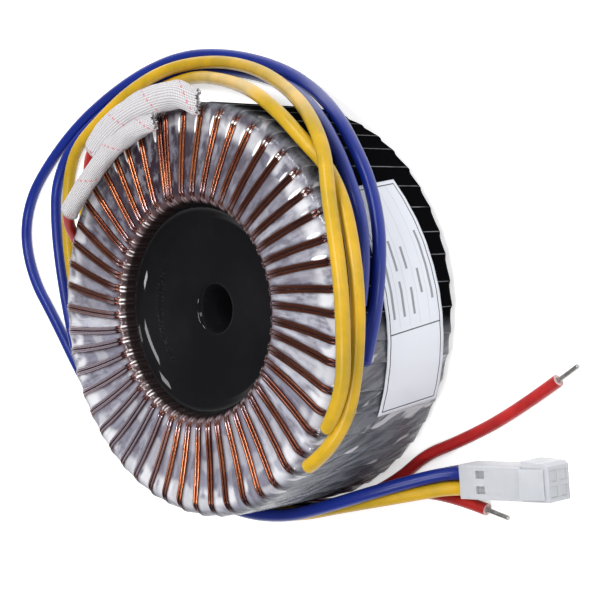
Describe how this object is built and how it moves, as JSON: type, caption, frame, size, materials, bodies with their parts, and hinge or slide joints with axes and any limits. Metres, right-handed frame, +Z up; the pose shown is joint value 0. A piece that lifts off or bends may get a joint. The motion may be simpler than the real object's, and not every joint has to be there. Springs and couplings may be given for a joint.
{
  "type": "toroidal transformer",
  "caption": "Toroidal mains transformer wound in clear film over copper turns, potted centre with a bolt hole, leads in a nylon connector and tinned lead ends.",
  "frame": {"origin": "on the axis, at the middle of the wrapped body's flat base", "axes": "+Z up the axis of the potted bolt hole, out of the recessed face; the base rests at Z = 0; the secondary leads and the connector run out towards +X"},
  "size_m": [0.2103, 0.1309, 0.0487],
  "materials": {
    "core_steel": "satin",
    "insulation": "matte",
    "copper": "enamelled gloss",
    "dark_strip": "satin",
    "clear_film": "clear gloss",
    "epoxy": "gloss",
    "label": "satin",
    "yellow_pvc": "satin",
    "blue_pvc": "satin",
    "red_pvc": "satin",
    "tinned_copper": "satin",
    "braid": "woven",
    "nylon": "translucent natural"
  },
  "bodies": {
    "root": {"steel_core": "core_steel", "core_insulation": "insulation", "primary_winding": "copper", "interwinding_insulation": "insulation", "inner_secondary": "copper", "outer_secondary_strand_a": "copper", "outer_secondary_strand_b": "copper", "rim_strip": "dark_strip", "outer_film": "clear_film", "centre_potting": "epoxy", "rating_label": "label", "yellow_lead_a": "yellow_pvc", "yellow_lead_b": "yellow_pvc", "blue_lead_a": "blue_pvc", "blue_lead_b": "blue_pvc", "red_lead_a": "red_pvc", "red_lead_b": "red_pvc", "red_a_conductor": "tinned_copper", "red_b_conductor": "tinned_copper", "upper_sleeve": "braid", "lower_sleeve": "braid", "connector_housing": "nylon", "crimp_terminals": "tinned_copper"}
  },
  "joints": []
}
